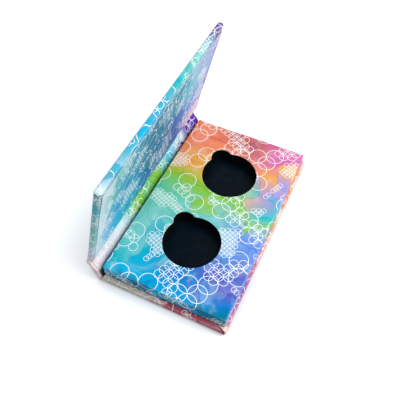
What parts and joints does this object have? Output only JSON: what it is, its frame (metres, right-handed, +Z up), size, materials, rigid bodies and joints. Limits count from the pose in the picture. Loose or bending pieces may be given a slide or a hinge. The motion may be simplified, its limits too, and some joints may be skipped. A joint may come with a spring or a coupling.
{
  "type": "refillable eyeshadow compact",
  "caption": "Book-style paperboard compact: lid and spine fold on paper hinges over a wrapped tray whose round, notched wells hold magnetic refill pans.",
  "frame": {"origin": "middle of the closed case's footprint, on the underside of the base that it rests on", "axes": "+X from the fold side to the free edge, +Y from the near end to the far end along the folds, +Z up"},
  "size_m": [0.0675, 0.1048, 0.0742],
  "materials": {
    "outer_print": "printed art paper, satin lamination",
    "inner_print": "printed art paper, satin lamination",
    "tray_print": "printed art paper, satin lamination",
    "greyboard": "raw greyboard",
    "black_core": "black foam board, die cut",
    "magnet_sheet": "satin black flexible magnet",
    "closure_steel": "nickel plated"
  },
  "bodies": {
    "base": {"base_board": "greyboard", "base_wrap": "outer_print", "base_liner": "inner_print", "well_magnet_near": "magnet_sheet", "well_magnet_far": "magnet_sheet", "tray_core": "black_core", "tray_wrap": "tray_print", "strike_disc_near": "closure_steel", "strike_disc_far": "closure_steel"},
    "spine": {"spine_board": "greyboard", "spine_wrap": "outer_print", "spine_liner": "inner_print", "base_fold": "outer_print", "lid_fold": "outer_print"},
    "lid": {"lid_board": "greyboard", "lid_wrap": "outer_print", "lid_liner": "inner_print", "lid_magnet_near": "closure_steel", "lid_magnet_far": "closure_steel"}
  },
  "joints": [
    {"name": "spine_hinge", "type": "hinge", "parent": "base", "child": "spine", "pos_m": [-0.03155, 0, 0.0003], "axis": [0, -1, 0], "range_deg": [-17, 73]},
    {"name": "lid_hinge", "type": "hinge", "parent": "spine", "child": "lid", "pos_m": [-0.03537, 0, 0.01278], "axis": [0, -1, 0], "range_deg": [-58.6, 31.4]}
  ]
}
